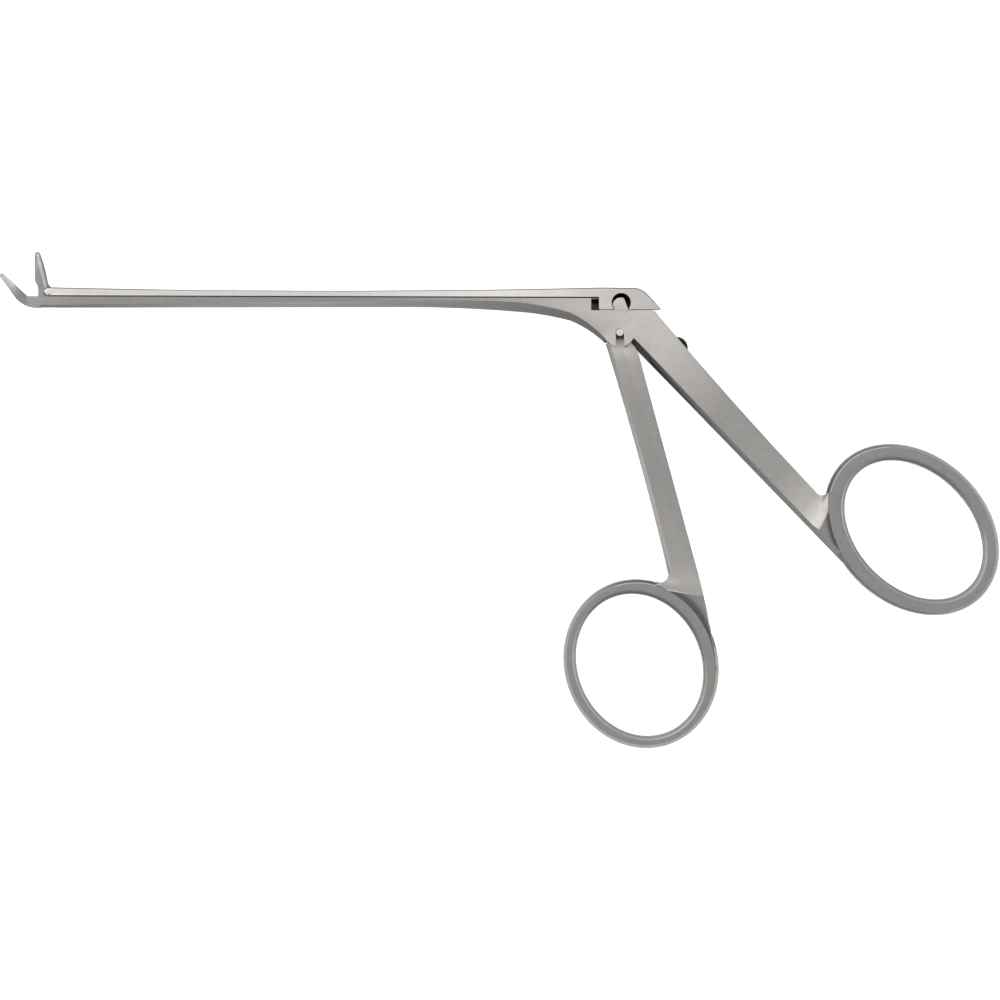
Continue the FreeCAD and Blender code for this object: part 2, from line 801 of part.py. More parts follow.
def cup_tools(which):
    """The dished oval window of a cup jaw: a shallow bowl and a long window through it."""
    place = bite_place(which)
    bowl = doc.addObject("Part::Ellipsoid", which + "_bowl")
    bind(bowl, "Radius1", s.bowl_deep)
    bind(bowl, "Radius2", s.bowl_long)
    bind(bowl, "Radius3", s.bowl_wide)
    bowl.Placement = place
    window = new_body(which + "_window")
    sketch = new_sketch(window, which + "_window_outline", lift=-s.overrun)
    draw_ellipse(sketch, as_size(0), as_size(0), as_size(0), s.cup_long * 0.5, s.cup_wide * 0.5)
    pad(window, sketch, which + "_window_pad", s.overrun * 2)
    window.Placement = place
    return [bowl, window]


def finger_ellipses():
    """Inner and outer ellipse of the finger ring."""
    inner = (s.finger_x, -s.finger_y, s.finger_tilt, s.finger_long, s.finger_short)
    outer = (s.finger_x + s.finger_shift_x, s.finger_shift_y - s.finger_y,
             s.finger_tilt + s.finger_twist, s.finger_long + s.finger_band_long,
             s.finger_short + s.finger_band_short)
    return inner, outer


def lever_outline():
    """Side view of the front handle from its root at the pivot down to the finger ring."""
    right = math.radians(s.lever_right_angle.value)
    left = math.radians(s.lever_left_angle.value)
    root = s.lever_root_radius
    return [
        (-s.lever_left_x, -s.lever_left_y),
        (-(root * math.cos(left)), -(root * math.sin(left)), root, 1),
        (root * math.cos(right), -(root * math.sin(right))),
        (s.lever_hip_x, -s.lever_hip_y),
        (s.lever_knee_x, -s.lever_knee_y),
        (s.lever_back_x, -s.lever_back_y, s.lever_merge_sweep, -1),
        (s.lever_merge_x, -s.lever_merge_y),
        (s.finger_x, -s.finger_y),
        (s.lever_crook_x, -s.lever_crook_y, s.lever_crook_radius, 1),
        (s.lever_front_x, -s.lever_front_y, s.lever_front_sweep, 1),
    ]


def lever_tongue():
    """The disc about the pivot, the neck above it and the round head with its flat flank."""
    disc = cylinder("tongue_disc", 0, 0, s.tongue_radius, s.lever_thick)
    neck = plate("tongue_neck", [
        (-s.neck_left, 0),
        (s.head_x - s.neck_left, s.head_height),
        (s.head_x + s.neck_right, s.head_height),
        (s.neck_right, 0),
    ], s.lever_thick)
    head = cylinder("lever_head", s.head_x, s.head_height, s.head_radius, s.lever_thick)
    flat = plate("head_flat", [
        (s.flank_reach, -s.head_radius),
        (s.flank_reach + s.head_radius, -s.head_radius),
        (s.flank_reach + s.head_radius, s.head_radius * 2),
        (s.flank_reach, s.head_radius * 2),
    ], s.body_thick)
    flat.Placement.Rotation = FreeCAD.Rotation(Z_AXIS, s.flank_tilt.value)
    bind(flat, "Placement.Base.x", s.head_x)
    bind(flat, "Placement.Base.y", s.head_height)
    return take_away("head_trimmed", join("tongue", [disc, neck, head]), flat)


def make_lever():
    profile = plate("lever_profile", lever_outline(), s.lever_thick)
    rise = overlap_of("finger_shoulder", [
        plate("finger_profile", lever_outline(), s.ring_thick),
        ring_rise("finger_rise", s.finger_ridge_x, -s.finger_ridge_y, s.finger_ridge_turn,
                  s.lever_thick)])
    inner, outer = finger_ellipses()
    cutters = join("lever_cutters", [ring_hole("finger_hole", inner)] + lever_bevel())
    shank = take_away("lever_shank", join("lever_shouldered", [profile, rise]), cutters)
    whole_lever = join("lever_joined", [shank, ring("finger_ring", inner, outer), lever_tongue()])
    pin_hole = cylinder("lever_pin_hole", 0, 0, s.pivot_radius, s.body_thick)
    return take_away("lever_drilled", whole_lever, pin_hole)


def slider_outline():
    """Side view of the sliding shaft, from its round nose along the top to the rear heel."""
    low = s.seam_height + s.slide_gap
    nose_x = x_of(s.nose_ahead - s.nose_thick * 0.5)
    return [
        (nose_x, low, None, -1),
        (nose_x, low + s.nose_thick, s.slider_top_sweep, 1),
        (-s.slider_back, s.slider_back_height),
        (s.crown_x, s.crown_height, s.crown_radius, -1),
        (s.slope_x, s.slope_height),
        (s.heel_x, s.heel_height),
        (s.heel_x - s.heel_lip, s.block_height),
        (-s.block_front, s.block_height),
        (-s.block_front, low),
    ]


def upright_bar(name, front, back, low, top, thick, middle=None):
    """A straight bar between two places along the shaft and two heights."""
    return plate(name, [(front, low), (front, top), (back, top), (back, low)], thick, middle)


def make_slider():
    whole = s.body_thick + s.overrun
    profile = plate("slider_profile", slider_outline(), s.body_thick)
    blank = overlap_of("slider_blank", [profile, plan_block("slider_plan")])
    rail_top = s.seam_height - s.rail_lip - s.slide_gap
    neck = upright_bar("rail_neck_bar", -s.rail_front, -s.rail_back,
                       rail_top - s.rail_head_thick * 0.5,
                       s.seam_height + s.slide_gap + s.rail_lip, s.rail_neck)
    head = upright_bar("rail_head_bar", -s.rail_front, -s.rail_back,
                       rail_top - s.rail_head_thick, rail_top, s.rail_head)
    railed = join("slider_railed", [blank, neck, head])
    head_room = s.lever_thick + s.slot_side_play * 2
    below = s.block_height - s.overrun
    tools = [
        cylinder("window_bore", s.window_x, s.window_height, s.window_radius, whole,
                 mid_z - head_room * 0.5),
        upright_bar("head_slot", s.window_x - s.window_radius, s.window_x + s.window_radius,
                    below, s.window_height, head_room),
        upright_bar("guide_groove", -(s.block_front + s.overrun), -s.groove_end, below,
                    s.guide_height + s.slide_gap, s.guide_wide + s.slide_gap * 2,
                    s.guide_level),
        upright_bar("nose_fork", x_of(s.overrun), s.cup_start - s.jaw_reach,
                    s.seam_height - s.overrun, s.seam_height + s.nose_thick + s.overrun,
                    s.fork_gap),
        cylinder("drive_pin_hole", s.drive_ahead - s.jaw_reach,
                 s.jaw_pivot_height + s.drive_height, s.drive_pin_radius, whole),
    ]
    return take_away("slider_slotted", railed, join("slider_tools", tools))


def pivot_point(lean, height):
    """A point given by its lean ahead of the jaw pivot and its height above it."""
    return (x_of(lean), s.jaw_pivot_height + height)


def jaw_cup():
    """The wide cup, with its side view and its tapering front view."""
    side = plate("jaw_cup_profile", [
        pivot_point(s.upper_tip_lean, s.upper_tip_height) + (s.jaw_tip_radius, -1),
        pivot_point(s.upper_tip_lean - s.jaw_tip_deep, s.upper_tip_height + s.upper_back_rise)
        + (s.upper_back_sweep, -1),
        pivot_point(-s.upper_heel_lean, s.upper_heel_height),
        pivot_point(s.upper_root_lean, s.upper_root_height),
        pivot_point(s.upper_bite_lean, s.upper_bite_height),
    ], s.jaw_wide)
    front = new_body("jaw_cup_front")
    sketch = new_sketch(front, "jaw_cup_front_outline", "YZ_Plane", x_of(s.overrun * 2))
    base = s.jaw_pivot_height
    taper = s.jaw_pivot_height + s.upper_side_start
    top = s.jaw_pivot_height + s.upper_tip_height + s.jaw_tip_radius - s.jaw_tip_wide * 0.5
    low, high = (mid_z - s.jaw_wide * 0.5, mid_z + s.jaw_wide * 0.5)
    draw_outline(sketch, [
        (base, low),
        (taper, low, s.upper_side_sweep, 1),
        (top, mid_z - s.jaw_tip_wide * 0.5, None, 1),
        (top, mid_z + s.jaw_tip_wide * 0.5, s.upper_side_sweep, 1),
        (taper, high),
        (base, high),
    ])
    pad(front, sketch, "jaw_cup_front_pad", s.overrun * 4)
    swing = cylinder("cup_clearance", -s.jaw_reach, s.jaw_pivot_height, s.cup_start,
                     s.body_thick)
    return take_away("jaw_cup", overlap_of("jaw_cup_shaped", [side, front]), swing)


def make_jaw():
    """The movable cup jaw, open: a wide cup on a thin tang that swings between the cheeks."""
    disc = cylinder("tang_disc", -s.jaw_reach, s.jaw_pivot_height, s.tang_radius, s.tang_thick)
    web = plate("tang_web", [
        pivot_point(s.tang_front, s.tang_front_low),
        pivot_point(s.tang_front, s.tang_front_height),
        pivot_point(s.upper_root_lean, s.tang_top_height),
        pivot_point(s.upper_heel_lean, s.tang_top_height),
        pivot_point(-s.tang_heel_lean, s.tang_heel_height),
        pivot_point(-s.tang_radius, as_size(0)),
    ], s.tang_thick)
    joined = join("jaw_joined", [jaw_cup(), disc, web])
    slot_half = s.drive_pin_radius + s.drive_play
    slot = plate("drive_slot", [
        (slot_half, s.drive_height + s.drive_slot_up, None, 1),
        (-slot_half, s.drive_height + s.drive_slot_up),
        (-slot_half, s.drive_height - s.drive_slot_down, None, 1),
        (slot_half, s.drive_height - s.drive_slot_down),
    ], s.body_thick)
    lean = math.degrees(math.atan2(s.drive_ahead.value, s.drive_height.value))
    slot.Placement.Rotation = FreeCAD.Rotation(Z_AXIS, -lean)
    bind(slot, "Placement.Base.x", -s.jaw_reach)
    bind(slot, "Placement.Base.y", s.jaw_pivot_height)
    pin_hole = cylinder("tang_hole", -s.jaw_reach, s.jaw_pivot_height,
                        s.jaw_pin_radius + s.pin_play, s.body_thick)
    return take_away("jaw_slotted", joined,
                     join("jaw_tools", [slot, pin_hole] + cup_tools("upper")))


def make_screw():
    """Stop screw with a domed, slotted head that seats on the handle's back edge."""
    dome_radius = (s.screw_head_radius.value ** 2 + s.screw_head_height.value ** 2) \
        / (2 * s.screw_head_height.value)
    ball = doc.addObject("Part::Sphere", "screw_ball")
    ball.Radius = dome_radius
    place = screw_frame()
    ball.Placement = place.multiply(FreeCAD.Placement(
        FreeCAD.Vector(0, 0, s.screw_head_height.value - dome_radius), FreeCAD.Rotation()))
    head = doc.addObject("Part::Cylinder", "screw_head")
    bind(head, "Radius", s.screw_head_radius)
    bind(head, "Height", s.screw_head_height)
    head.Placement = place
    dome = overlap_of("screw_dome", [ball, head])
    shank = screw_bar("screw_shank", s.screw_radius, s.screw_length)
    slot = doc.addObject("Part::Box", "screw_driver_slot")
    bind(slot, "Length", s.screw_slot_wide)
    bind(slot, "Width", s.screw_head_radius * 4)
    bind(slot, "Height", s.screw_head_height)
    slot.Placement = place.multiply(FreeCAD.Placement(
        FreeCAD.Vector(-s.screw_slot_wide.value / 2, -s.screw_head_radius.value * 2,
                       s.screw_head_height.value - s.screw_slot_deep.value), FreeCAD.Rotation()))
    return take_away("screw_cut", join("screw_joined", [dome, shank]), slot)


def export(parts):
    """Check the whole document, then write one file for each sub-part."""
    doc.recompute()
    for item in doc.Objects:
        if "Invalid" in item.State or "Error" in item.State:
            raise RuntimeError(f"{item.Name} failed: {item.State}")
    os.makedirs("parts", exist_ok=True)
    for node, thing in parts.items():
        thing.Label = node
        shape = thing.Shape
        if shape.isNull() or not shape.isValid():
            raise RuntimeError(f"{node} has no valid shape")
        box = shape.BoundBox
        print(f"{node}: {len(shape.Solids)} solid, {shape.Volume:.1f} mm3, "
              f"X {box.XMin:.2f} {box.XMax:.2f}, Y {box.YMin:.2f} {box.YMax:.2f}, "
              f"Z {box.ZMin:.2f} {box.ZMax:.2f}")
    for node, thing in parts.items():
        thing.Shape.exportStep(f"parts/{node}.step")


export({
    "fixed_shaft": make_fixed_shaft(),
    "sliding_shaft": make_slider(),
    "finger_lever": make_lever(),
    "movable_jaw": make_jaw(),
    "jaw_pivot_pin": cylinder("jaw_pivot", -s.jaw_reach, s.jaw_pivot_height,
                              s.jaw_pin_radius, s.shaft_thick),
    "jaw_drive_pin": cylinder("jaw_drive", s.drive_ahead - s.jaw_reach,
                              s.jaw_pivot_height + s.drive_height, s.drive_pin_radius,
                              s.shaft_thick),
    "lever_pivot_pin": cylinder("lever_pivot", 0, 0, s.pivot_radius, s.body_thick),
    "stop_screw": make_screw(),
})
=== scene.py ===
import bpy, math
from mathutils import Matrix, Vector


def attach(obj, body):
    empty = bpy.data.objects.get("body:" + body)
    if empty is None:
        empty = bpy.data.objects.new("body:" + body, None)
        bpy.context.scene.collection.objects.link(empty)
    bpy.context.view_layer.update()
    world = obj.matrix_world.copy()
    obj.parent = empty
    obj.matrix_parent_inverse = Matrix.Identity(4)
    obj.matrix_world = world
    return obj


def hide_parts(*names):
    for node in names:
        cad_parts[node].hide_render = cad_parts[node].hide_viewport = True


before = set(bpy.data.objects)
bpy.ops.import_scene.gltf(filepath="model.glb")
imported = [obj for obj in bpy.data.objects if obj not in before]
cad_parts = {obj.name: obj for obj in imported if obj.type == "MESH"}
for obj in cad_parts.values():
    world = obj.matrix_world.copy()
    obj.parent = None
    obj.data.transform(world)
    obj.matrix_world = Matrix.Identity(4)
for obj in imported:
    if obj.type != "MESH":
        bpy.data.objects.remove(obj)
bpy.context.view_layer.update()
mm = 0.001
print("frame loaded")

def clearSelection():
    if bpy.context.object and bpy.context.object.mode != "OBJECT":
        bpy.ops.object.mode_set(mode="OBJECT")
    bpy.ops.object.select_all(action="DESELECT")


def makeActive(piece):
    clearSelection()
    piece.select_set(True)
    bpy.context.view_layer.objects.active = piece


def addSocket(group, name, inOut, kind, value=None):
    socket = group.interface.new_socket(name=name, in_out=inOut, socket_type=kind)
    if value is not None:
        socket.default_value = value


def makeBrushedGroup():
    # fine lines along local X, soft mottling and the values that follow from them
    group = bpy.data.node_groups.new("brushedSteel", "ShaderNodeTree")
    addSocket(group, "Vector", "INPUT", "NodeSocketVector")
    addSocket(group, "Tint", "INPUT", "NodeSocketColor", (0.6, 0.6, 0.6, 1.0))
    addSocket(group, "Dark Tint", "INPUT", "NodeSocketColor", (0.4, 0.4, 0.4, 1.0))
    addSocket(group, "Roughness", "INPUT", "NodeSocketFloat", 0.3)
    addSocket(group, "Spread", "INPUT", "NodeSocketFloat", 0.1)
    addSocket(group, "Mottle Size", "INPUT", "NodeSocketFloat", 200.0)
    addSocket(group, "Line Density", "INPUT", "NodeSocketFloat", 1500.0)
    addSocket(group, "Line Stretch", "INPUT", "NodeSocketFloat", 0.03)
    addSocket(group, "Color", "OUTPUT", "NodeSocketColor")
    addSocket(group, "Rough", "OUTPUT", "NodeSocketFloat")
    addSocket(group, "Lines", "OUTPUT", "NodeSocketFloat")
    nodes, links = group.nodes, group.links
    come = nodes.new("NodeGroupInput")
    go = nodes.new("NodeGroupOutput")
    stretch = nodes.new("ShaderNodeCombineXYZ")
    stretch.inputs["Y"].default_value = 1.0
    stretch.inputs["Z"].default_value = 1.0
    links.new(come.outputs["Line Stretch"], stretch.inputs["X"])
    along = nodes.new("ShaderNodeVectorMath")
    along.operation = "MULTIPLY"
    links.new(come.outputs["Vector"], along.inputs[0])
    links.new(stretch.outputs[0], along.inputs[1])
    lines = nodes.new("ShaderNodeTexNoise")
    lines.inputs["Detail"].default_value = 4.0
    lines.inputs["Roughness"].default_value = 0.65
    links.new(along.outputs[0], lines.inputs["Vector"])
    links.new(come.outputs["Line Density"], lines.inputs["Scale"])
    mottle = nodes.new("ShaderNodeTexNoise")
    mottle.inputs["Detail"].default_value = 3.0
    mottle.inputs["Roughness"].default_value = 0.55
    links.new(come.outputs["Vector"], mottle.inputs["Vector"])
    links.new(come.outputs["Mottle Size"], mottle.inputs["Scale"])
    share = nodes.new("ShaderNodeMapRange")
    share.inputs["From Min"].default_value = 0.35
    share.inputs["From Max"].default_value = 0.70
    links.new(mottle.outputs["Fac"], share.inputs["Value"])
    lineShare = nodes.new("ShaderNodeMapRange")
    lineShare.inputs["From Min"].default_value = 0.3
    lineShare.inputs["From Max"].default_value = 0.7
    links.new(lines.outputs["Fac"], lineShare.inputs["Value"])
    blend = nodes.new("ShaderNodeMath")
    blend.operation = "MULTIPLY_ADD"
    blend.inputs[1].default_value = 0.55
    links.new(share.outputs[0], blend.inputs[0])
    faint = nodes.new("ShaderNodeMath")
    faint.operation = "MULTIPLY"
    faint.inputs[1].default_value = 0.45
    links.new(lineShare.outputs[0], faint.inputs[0])
    links.new(faint.outputs[0], blend.inputs[2])
    colour = nodes.new("ShaderNodeMix")
    colour.data_type = "RGBA"
    links.new(blend.outputs[0], colour.inputs["Factor"])
    links.new(come.outputs["Tint"], colour.inputs["A"])
    links.new(come.outputs["Dark Tint"], colour.inputs["B"])
    rough = nodes.new("ShaderNodeMath")
    rough.operation = "MULTIPLY_ADD"
    links.new(share.outputs[0], rough.inputs[0])
    links.new(come.outputs["Spread"], rough.inputs[1])
    links.new(come.outputs["Roughness"], rough.inputs[2])
    links.new(colour.outputs["Result"], go.inputs["Color"])
    links.new(rough.outputs[0], go.inputs["Rough"])
    links.new(lineShare.outputs[0], go.inputs["Lines"])
    return group


def makeRoundGroup():
    # turns a place into one measured around and away from a ring's centre
    group = bpy.data.node_groups.new("aroundRing", "ShaderNodeTree")
    addSocket(group, "Vector", "INPUT", "NodeSocketVector")
    addSocket(group, "Centre", "INPUT", "NodeSocketVector")
    addSocket(group, "Radius", "INPUT", "NodeSocketFloat", 0.015)
    addSocket(group, "Around", "OUTPUT", "NodeSocketVector")
    nodes, links = group.nodes, group.links
    come = nodes.new("NodeGroupInput")
    go = nodes.new("NodeGroupOutput")
    offset = nodes.new("ShaderNodeVectorMath")
    offset.operation = "SUBTRACT"
    links.new(come.outputs["Vector"], offset.inputs[0])
    links.new(come.outputs["Centre"], offset.inputs[1])
    split = nodes.new("ShaderNodeSeparateXYZ")
    links.new(offset.outputs[0], split.inputs[0])
    turn = nodes.new("ShaderNodeMath")
    turn.operation = "ARCTAN2"
    links.new(split.outputs["Y"], turn.inputs[0])
    links.new(split.outputs["X"], turn.inputs[1])
    around = nodes.new("ShaderNodeMath")
    around.operation = "MULTIPLY"
    links.new(turn.outputs[0], around.inputs[0])
    links.new(come.outputs["Radius"], around.inputs[1])
    away = nodes.new("ShaderNodeVectorMath")
    away.operation = "LENGTH"
    links.new(offset.outputs[0], away.inputs[0])
    place = nodes.new("ShaderNodeCombineXYZ")
    links.new(around.outputs[0], place.inputs["X"])
    links.new(away.outputs["Value"], place.inputs["Y"])
    links.new(split.outputs["Z"], place.inputs["Z"])
    links.new(place.outputs[0], go.inputs["Around"])
    return group


brushedGroup = makeBrushedGroup()
roundGroup = makeRoundGroup()


def addTones(nodes, links, place, across, tones):
    # a grey ramp along one direction of the instrument, from places in mm: painted light and shade
    # (on the screw, its own black)
    along = nodes.new("ShaderNodeVectorMath")
    along.operation = "DOT_PRODUCT"
    along.inputs[1].default_value = (*across, 0.0)
    links.new(place, along.inputs[0])
    share = nodes.new("ShaderNodeMapRange")
    first, last = tones[0][0], tones[-1][0]
    share.inputs["From Min"].default_value = first * mm
    share.inputs["From Max"].default_value = last * mm
    links.new(along.outputs["Value"], share.inputs["Value"])
    ramp = nodes.new("ShaderNodeValToRGB")
    stops = ramp.color_ramp.elements
    stops[0].position, stops[1].position = 0.0, 1.0
    stops[0].color = (*[tones[0][1]] * 3, 1.0)
    stops[1].color = (*[tones[-1][1]] * 3, 1.0)
    for where, tone in tones[1:-1]:
        stop = stops.new((where - first) / (last - first))
        stop.color = (tone, tone, tone, 1.0)
    links.new(share.outputs[0], ramp.inputs["Fac"])
    return ramp.outputs["Color"]


# the steel's own grain; tints are linear, and the tones of each set scale them with painted light
# and shade
steelGrain = {
    "tint": (0.960, 0.930, 0.905),
    "darkTint": (0.860, 0.828, 0.800),
    "roughSpread": 0.08,
    "mottleSize": 900.0,
    "lineDensity": 2600.0,
    "lineStretch": 0.03,
    "lineHeight": 0.14,
    "lineDepth": 0.02 * mm,
    "anisotropy": 0.25,
}


def makeSteel(name, finishAndShade):
    # brushed steel whose grain runs straight, or around a ring when the set has a centre; its
    # tones, multiplied into the colour, are painted light and shade (on the screw, its own black)
    material = bpy.data.materials.new(name)
    material.use_nodes = True
    nodes, links = material.node_tree.nodes, material.node_tree.links
    shader = nodes["Principled BSDF"]
    shader.inputs["Metallic"].default_value = 1.0
    shader.inputs["Anisotropic"].default_value = steelGrain["anisotropy"]
    coords = nodes.new("ShaderNodeTexCoord")
    group = nodes.new("ShaderNodeGroup")
    group.node_tree = brushedGroup
    if "centre" in finishAndShade:
        around = nodes.new("ShaderNodeGroup")
        around.node_tree = roundGroup
        around.inputs["Centre"].default_value = [c * mm for c in finishAndShade["centre"]] + [0.0]
        links.new(coords.outputs["Object"], around.inputs["Vector"])
        links.new(around.outputs["Around"], group.inputs["Vector"])
        tones = [(-200, finishAndShade["tone"]), (200, finishAndShade["tone"])]
        tone = addTones(nodes, links, coords.outputs["Object"], (1.0, 0.0), tones)
    else:
        mapping = nodes.new("ShaderNodeMapping")
        mapping.inputs["Rotation"].default_value = (0, 0, -math.radians(finishAndShade["lineAngle"]))
        links.new(coords.outputs["Object"], mapping.inputs["Vector"])
        links.new(mapping.outputs[0], group.inputs["Vector"])
        tone = addTones(nodes, links, coords.outputs["Object"], finishAndShade["across"],
                        finishAndShade["tones"])
    group.inputs["Tint"].default_value = (*steelGrain["tint"], 1.0)
    group.inputs["Dark Tint"].default_value = (*steelGrain["darkTint"], 1.0)
    group.inputs["Roughness"].default_value = finishAndShade["roughness"]
    group.inputs["Spread"].default_value = steelGrain["roughSpread"]
    group.inputs["Mottle Size"].default_value = steelGrain["mottleSize"]
    group.inputs["Line Density"].default_value = steelGrain["lineDensity"]
    group.inputs["Line Stretch"].default_value = steelGrain["lineStretch"]
    # the tone ramp multiplies the grain colour: painted light and shade
    scaled = nodes.new("ShaderNodeMix")
    scaled.data_type = "RGBA"
    scaled.blend_type = "MULTIPLY"
    scaled.inputs["Factor"].default_value = 1.0
    links.new(group.outputs["Color"], scaled.inputs["A"])
    links.new(tone, scaled.inputs["B"])
    bump = nodes.new("ShaderNodeBump")
    bump.inputs["Strength"].default_value = steelGrain["lineHeight"]
    bump.inputs["Distance"].default_value = steelGrain["lineDepth"]
    links.new(scaled.outputs["Result"], shader.inputs["Base Color"])
    links.new(group.outputs["Rough"], shader.inputs["Roughness"])
    links.new(group.outputs["Lines"], bump.inputs["Height"])
    links.new(bump.outputs["Normal"], shader.inputs["Normal"])
    return material


# one set of grain, roughness and tones for each kind of surface; tones: place in mm along "across"
# and brightness there, painted light and shade (on the screw, its own black)
bodyShading = {
    "lineAngle": 0.0,
    "across": (1.0, -1.0),
    # painted light and shade across the body, with a painted highlight where the handle meets the
    # thumb ring
    "tones": [(-124, 0.40), (-112, 0.34), (-60, 0.32), (-32, 0.42), (-15, 0.58), (0, 0.62),
              (12, 0.60), (20, 0.52), (36, 0.37), (60, 0.38), (72, 0.54), (77, 0.84)],
    "roughness": 0.30,
}
underShade = {
    "lineAngle": 0.0,
    "across": (1.0, 0.0),
    # painted shade on the bevels that face away from the light
    "tones": [(-116, 0.26), (-104, 0.28), (-84, 0.40), (-60, 0.43), (-24, 0.30), (-12, 0.24),
              (-4, 0.20)],
    "roughness": 0.36,
}
innerShade = {
    "lineAngle": -45.8,
    "across": (1.0, -1.0),
    # painted shadow on the rear handle's inner bevel, near black beside the lever and lighter
    # further away
    "tones": [(2, 0.06), (12, 0.12), (22, 0.21), (40, 0.32), (70, 0.37), (100, 0.42)],
    "roughness": 0.36,
}
sliderShading = {
    "lineAngle": 0.0,
    "across": (1.0, 0.0),
    # painted light along the slider, brightest near its ends
    "tones": [(-116, 0.86), (-108, 0.76), (-60, 0.74), (-24, 0.90), (-12, 0.80), (0, 0.64),
              (8, 0.60)],
    "roughness": 0.26,
}
leverShading = {
    "lineAngle": -74.0,
    "across": (0.0, 1.0),
    # painted light and shade on the lever: painted shade near black around its pivot in the body's
    # slot, a painted highlight on its head
    "tones": [(-60, 0.34), (-50, 0.48), (-46, 0.40), (-30, 0.34), (-14, 0.36), (-6, 0.44),
              (-3.6, 0.58), (-2.6, 0.44), (-1.6, 0.24), (-1.2, 0.03), (2.5, 0.20), (3.6, 0.64)],
    "roughness": 0.30,
}
frontShading = {
    "lineAngle": -74.0,
    "across": (0.0, 1.0),
    # painted light and shade on the lever's front bevel
    "tones": [(-48, 0.52), (-30, 0.60), (-8, 0.44)],
    "roughness": 0.30,
}
# each ring: its outline, the line of the ridge before it, and the sides, in degrees, on which
# the crook and the shoulder of the handle run into it; its tone is painted shade on the ring's
# flats
thumbRingAndShade = {
    "centre": (58.54, -39.26),
    "half": (19.33, 14.91),
    "tilt": -43.2,
    "ridge": (43.9, -31.9, -27.85),
    "crook": (104, 158),
    "shoulder": (158, 207),
    "tone": 0.31,
    "roughness": 0.34,
}
fingerRingAndShade = {
    "centre": (4.46, -66.26),
    "half": (17.07, 15.32),
    "tilt": -70.0,
    "ridge": (10.92, -51.85, -98.0),
    "crook": (78, 107),
    "shoulder": (12, 78),
    "tone": 0.31,
    "roughness": 0.34,
}
# painted light and shade on the outer bevels of the rings
thumbRimShading = {
    "lineAngle": 20.0,
    "across": (1.0, 0.3),
    "tones": [(30, 0.25), (44, 0.27), (50, 0.44), (60, 0.50), (66, 0.62)],
    "roughness": 0.26,
}
fingerRimShading = {
    "lineAngle": 20.0,
    "across": (0.0, 1.0),
    "tones": [(-84, 0.56), (-54, 0.54), (-51.2, 0.44), (-50.2, 0.28), (-49, 0.26)],
    "roughness": 0.26,
}
holeShading = {
    "lineAngle": 20.0,
    "across": (0.35, 1.0),
    # painted light and shade on the inner bevels of the rings
    "tones": [(-80, 0.50), (-69, 0.60), (-60, 0.42), (-53, 0.24), (-50, 0.22), (-33, 0.44),
              (-26, 0.48), (-20, 0.62), (-12, 0.42), (-6, 0.24)],
    "roughness": 0.26,
}
turnShade = {
    "lineAngle": 20.0,
    "across": (1.0, 1.0),
    # painted shade on the turns of the ring edges that face away from the light
    "tones": [(-120, 0.38), (60, 0.38)],
    "roughness": 0.30,
}
edgeHighlight = {
    "lineAngle": 20.0,
    "across": (1.0, 1.0),
    # painted highlight on lit edges, ridges and rim walls
    "tones": [(-120, 0.66), (60, 0.70)],
    "roughness": 0.24,
}
gapShade = {
    "lineAngle": 0.0,
    "across": (1.0, 0.0),
    # near-black painted shade in the gap between the slider and the body
    "tones": [(-120, 0.04), (0, 0.04)],
    "roughness": 0.5,
}
jawSideShade = {
    "lineAngle": 0.0,
    "across": (1.0, 0.0),
    # painted shade on the steep sides of the jaws
    "tones": [(-125, 0.20), (-110, 0.17)],
    "roughness": 0.32,
}
recessShade = {
    "lineAngle": 0.0,
    "across": (0.0, 1.0),
    # painted shade in the step recess, the slider's window and the lever's slot
    "tones": [(4.2, 0.18), (5.5, 0.14), (5.9, 0.03), (8.0, 0.04)],
    "roughness": 0.5,
}
lowerJawShading = {
    "lineAngle": -44.0,
    "across": (-0.65, 0.76),
    # painted highlight streaked along the lower jaw, with painted shade towards its bend
    "tones": [(81.0, 0.33), (83.2, 0.30), (84.6, 0.40), (86.0, 0.66), (88.2, 0.80), (89.2, 0.50)],
    "roughness": 0.26,
}
upperJawShading = {
    "lineAngle": 80.0,
    "across": (0.97, 0.24),
    # a thin painted highlight across the upper jaw, with painted shade on either side
    "tones": [(-111, 0.40), (-110.2, 0.36), (-109.75, 0.34), (-109.45, 0.58), (-109.15, 0.60),
              (-108.9, 0.32), (-108.6, 0.18)],
    "roughness": 0.26,
}
pinShading = {
    "lineAngle": 15.0,
    "across": (0.0, 1.0),
    # painted light and shade on the pins: each pin is made lighter or darker by where it sits
    "tones": [(-1, 0.74), (1, 0.74), (5, 0.36), (6.9, 0.36), (7.4, 0.84), (9, 0.84)],
    "roughness": 0.24,
}
screwFinish = {
    "lineAngle": 40.0,
    "across": (1.0, 0.0),
    "tones": [(8, 0.012), (14, 0.016)],
    "roughness": 0.28,
}

# lit and shaded copies of one steel, their tones painted light and shade; the screw keeps its own
# black
bodySteel = makeSteel("bodySteel", bodyShading)
underShadeSteel = makeSteel("underShadeSteel", underShade)
innerShadeSteel = makeSteel("innerShadeSteel", innerShade)
sliderSteel = makeSteel("sliderSteel", sliderShading)
leverSteel = makeSteel("leverSteel", leverShading)
frontSteel = makeSteel("frontSteel", frontShading)
thumbSteel = makeSteel("thumbSteel", thumbRingAndShade)
fingerSteel = makeSteel("fingerSteel", fingerRingAndShade)
thumbRimSteel = makeSteel("thumbRimSteel", thumbRimShading)
fingerRimSteel = makeSteel("fingerRimSteel", fingerRimShading)
holeShadingSteel = makeSteel("holeShadingSteel", holeShading)
turnShadeSteel = makeSteel("turnShadeSteel", turnShade)
edgeHighlightSteel = makeSteel("edgeHighlightSteel", edgeHighlight)
gapShadeSteel = makeSteel("gapShadeSteel", gapShade)
